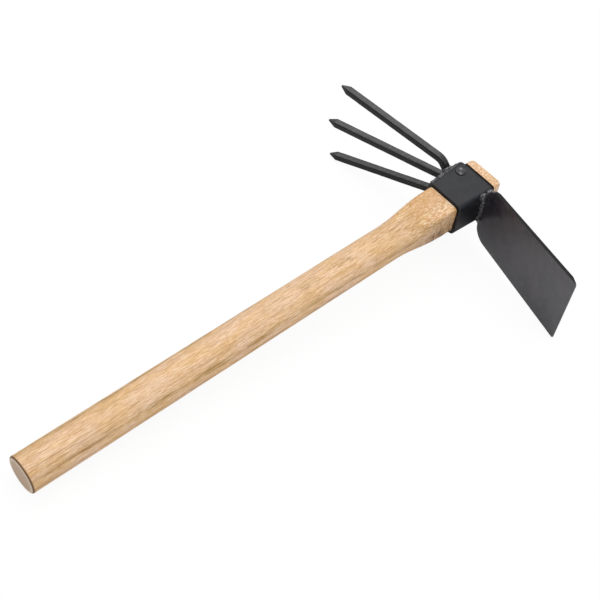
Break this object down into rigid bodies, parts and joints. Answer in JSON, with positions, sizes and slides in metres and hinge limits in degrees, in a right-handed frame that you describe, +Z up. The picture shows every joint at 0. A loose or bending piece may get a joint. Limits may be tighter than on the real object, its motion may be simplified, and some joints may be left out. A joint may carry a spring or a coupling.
{
  "type": "hoe and cultivator hand tool",
  "caption": "Short hand hoe: a flat blade and pointed cultivator tines welded to opposite sides of a rectangular steel eye on a straight wooden handle.",
  "frame": {"origin": "centre of the handle's flat butt end", "axes": "+X along the handle towards the head, +Y towards the tines, +Z up through the collar's upper face with the tool lying on its side"},
  "size_m": [0.4141, 0.2402, 0.077],
  "materials": {
    "handle_wood": "sanded light hardwood, thin clear lacquer",
    "wedge_wood": "sawn hardwood, unfinished",
    "painted_steel": "satin black paint",
    "weld_metal": "black paint over weld bead",
    "nail_steel": "hammered nail head, partly painted black"
  },
  "bodies": {
    "root": {"handle": "handle_wood", "tenon_wedge": "wedge_wood", "collar": "painted_steel", "collar_seam_weld": "weld_metal", "hoe_blade": "painted_steel", "blade_weld_handle_side": "weld_metal", "blade_weld_head_side": "weld_metal", "centre_tine": "painted_steel", "upper_tine": "painted_steel", "lower_tine": "painted_steel", "tine_weld_upper": "weld_metal", "tine_weld_lower": "weld_metal", "tine_weld_handle_side": "weld_metal", "tine_weld_head_side": "weld_metal", "retaining_nail": "nail_steel"}
  },
  "joints": []
}
